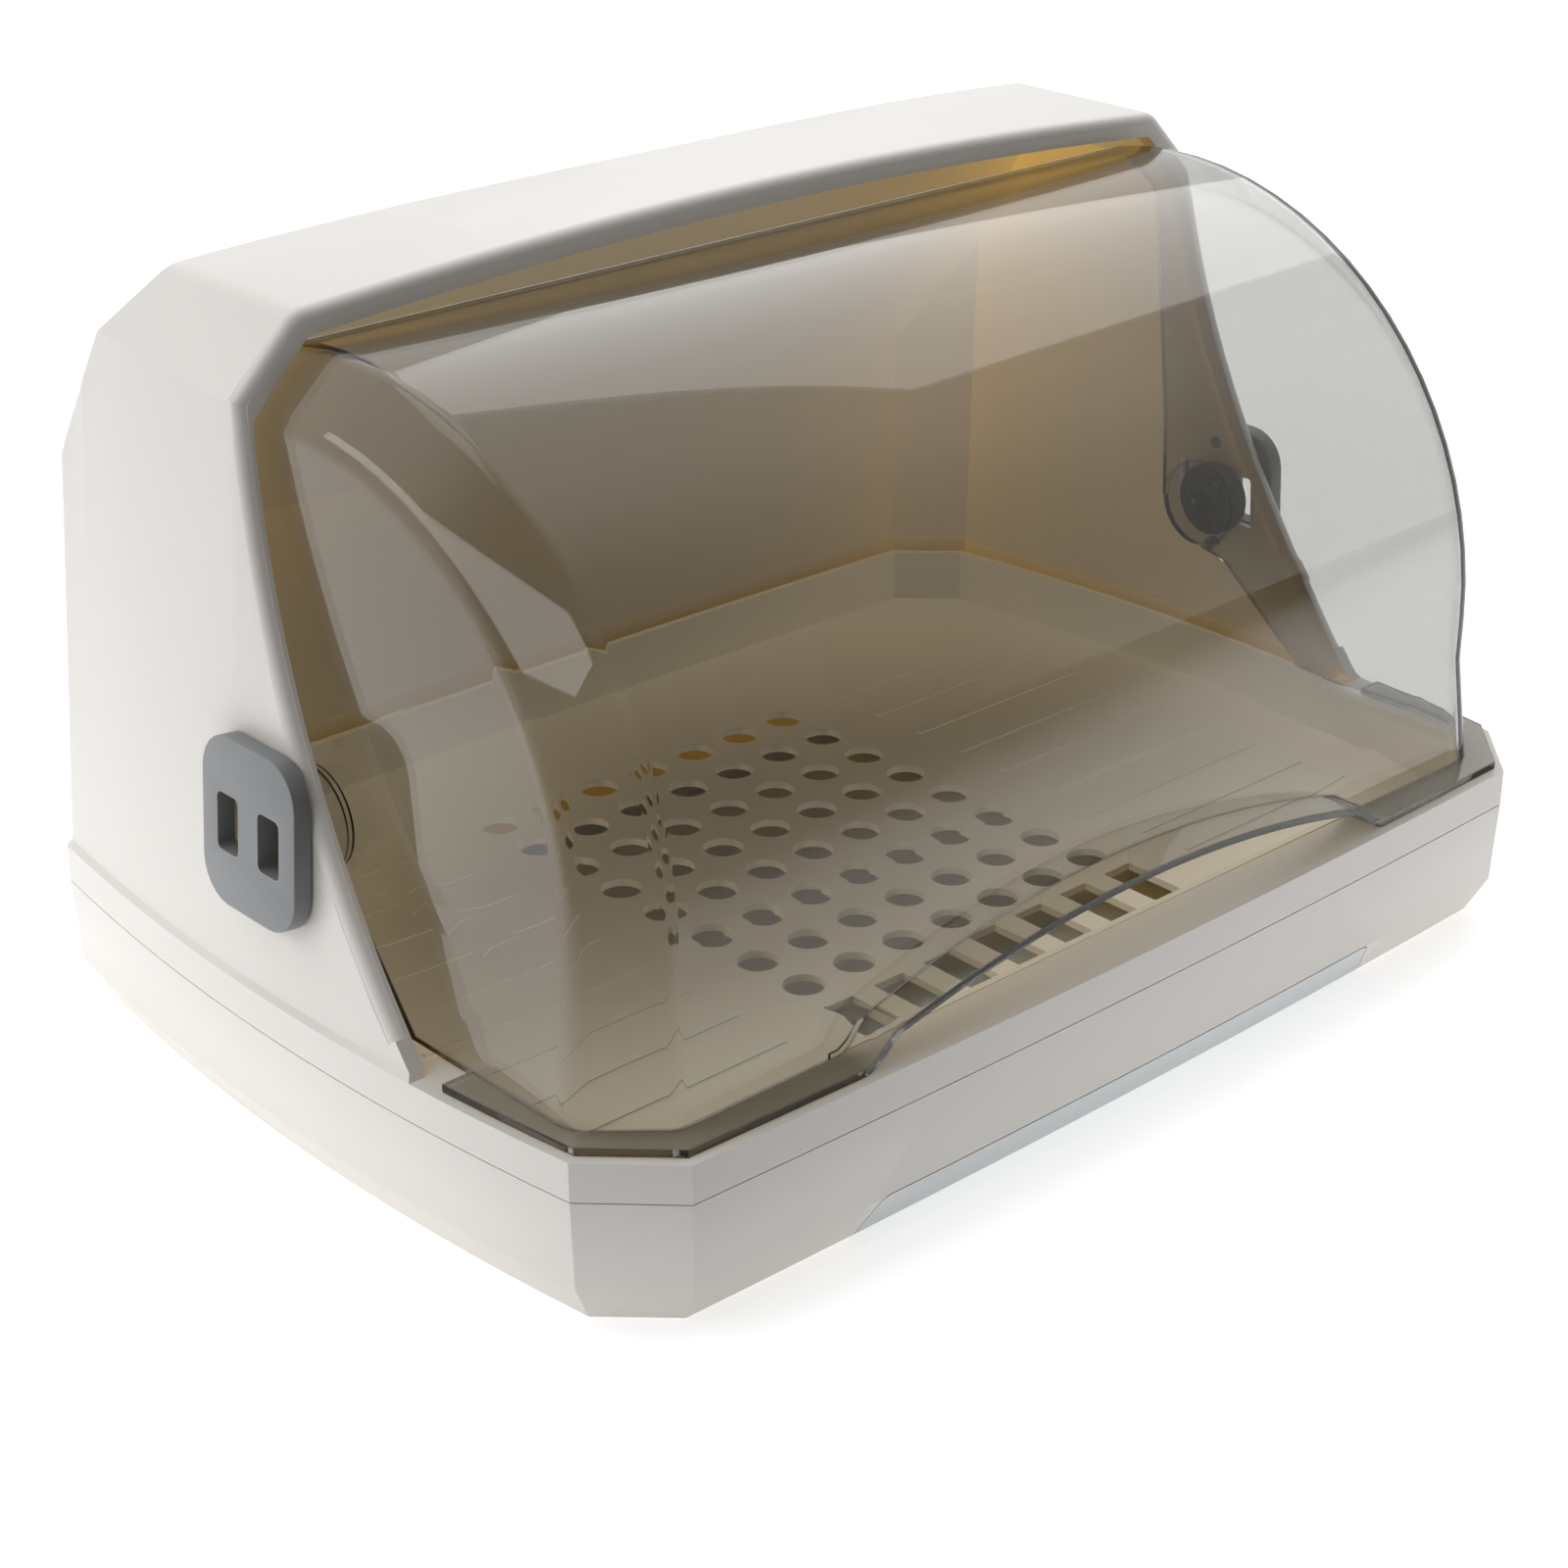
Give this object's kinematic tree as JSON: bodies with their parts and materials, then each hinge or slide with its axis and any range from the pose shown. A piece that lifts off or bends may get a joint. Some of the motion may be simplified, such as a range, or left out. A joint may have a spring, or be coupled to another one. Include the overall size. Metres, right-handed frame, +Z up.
{
  "type": "baby bottle drying rack",
  "caption": "Covered baby bottle drying box: cream base and hood, smoke flip-up lid on side pivots, perforated drain floor over a pull-out drip tray",
  "frame": {"origin": "on the ground under the middle of the box", "axes": "+X to the box's right along its width, +Y to the back, +Z up; the lid opens at -Y"},
  "size_m": [0.3392, 0.242, 0.2024],
  "materials": {
    "cream": "fine moulded texture, warm off-white",
    "smoke": "clear smoke-brown moulded plastic, polished",
    "pale_grey": "satin blue-grey",
    "grey": "satin mid grey",
    "dark": "dark blue-grey, polished",
    "rubber": "matt",
    "steel": "zinc plated"
  },
  "bodies": {
    "box": {"base_tray": "cream", "upper_hood": "cream", "drain_floor": "cream", "vent_plate_left": "grey", "vent_plate_right": "grey", "pivot_washer_left": "grey", "pivot_washer_right": "grey", "pivot_cap_left": "dark", "pivot_cap_right": "dark", "foot_front_left": "rubber", "foot_front_right": "rubber", "foot_back_left": "rubber", "foot_back_right": "rubber", "screw_front_left": "steel", "screw_front_right": "steel", "screw_back_left": "steel", "screw_back_right": "steel"},
    "lid": {"flip_lid": "smoke"},
    "tray": {"drip_tray": "pale_grey"}
  },
  "joints": [
    {"name": "lid_hinge", "type": "hinge", "parent": "box", "child": "lid", "pos_m": [0, -0.0015, 0.0852], "axis": [-1, 0, 0], "range_deg": [0, 100]},
    {"name": "tray_slide", "type": "slide", "parent": "box", "child": "tray", "axis": [0, -1, 0], "range_m": [0, 0.17]}
  ]
}
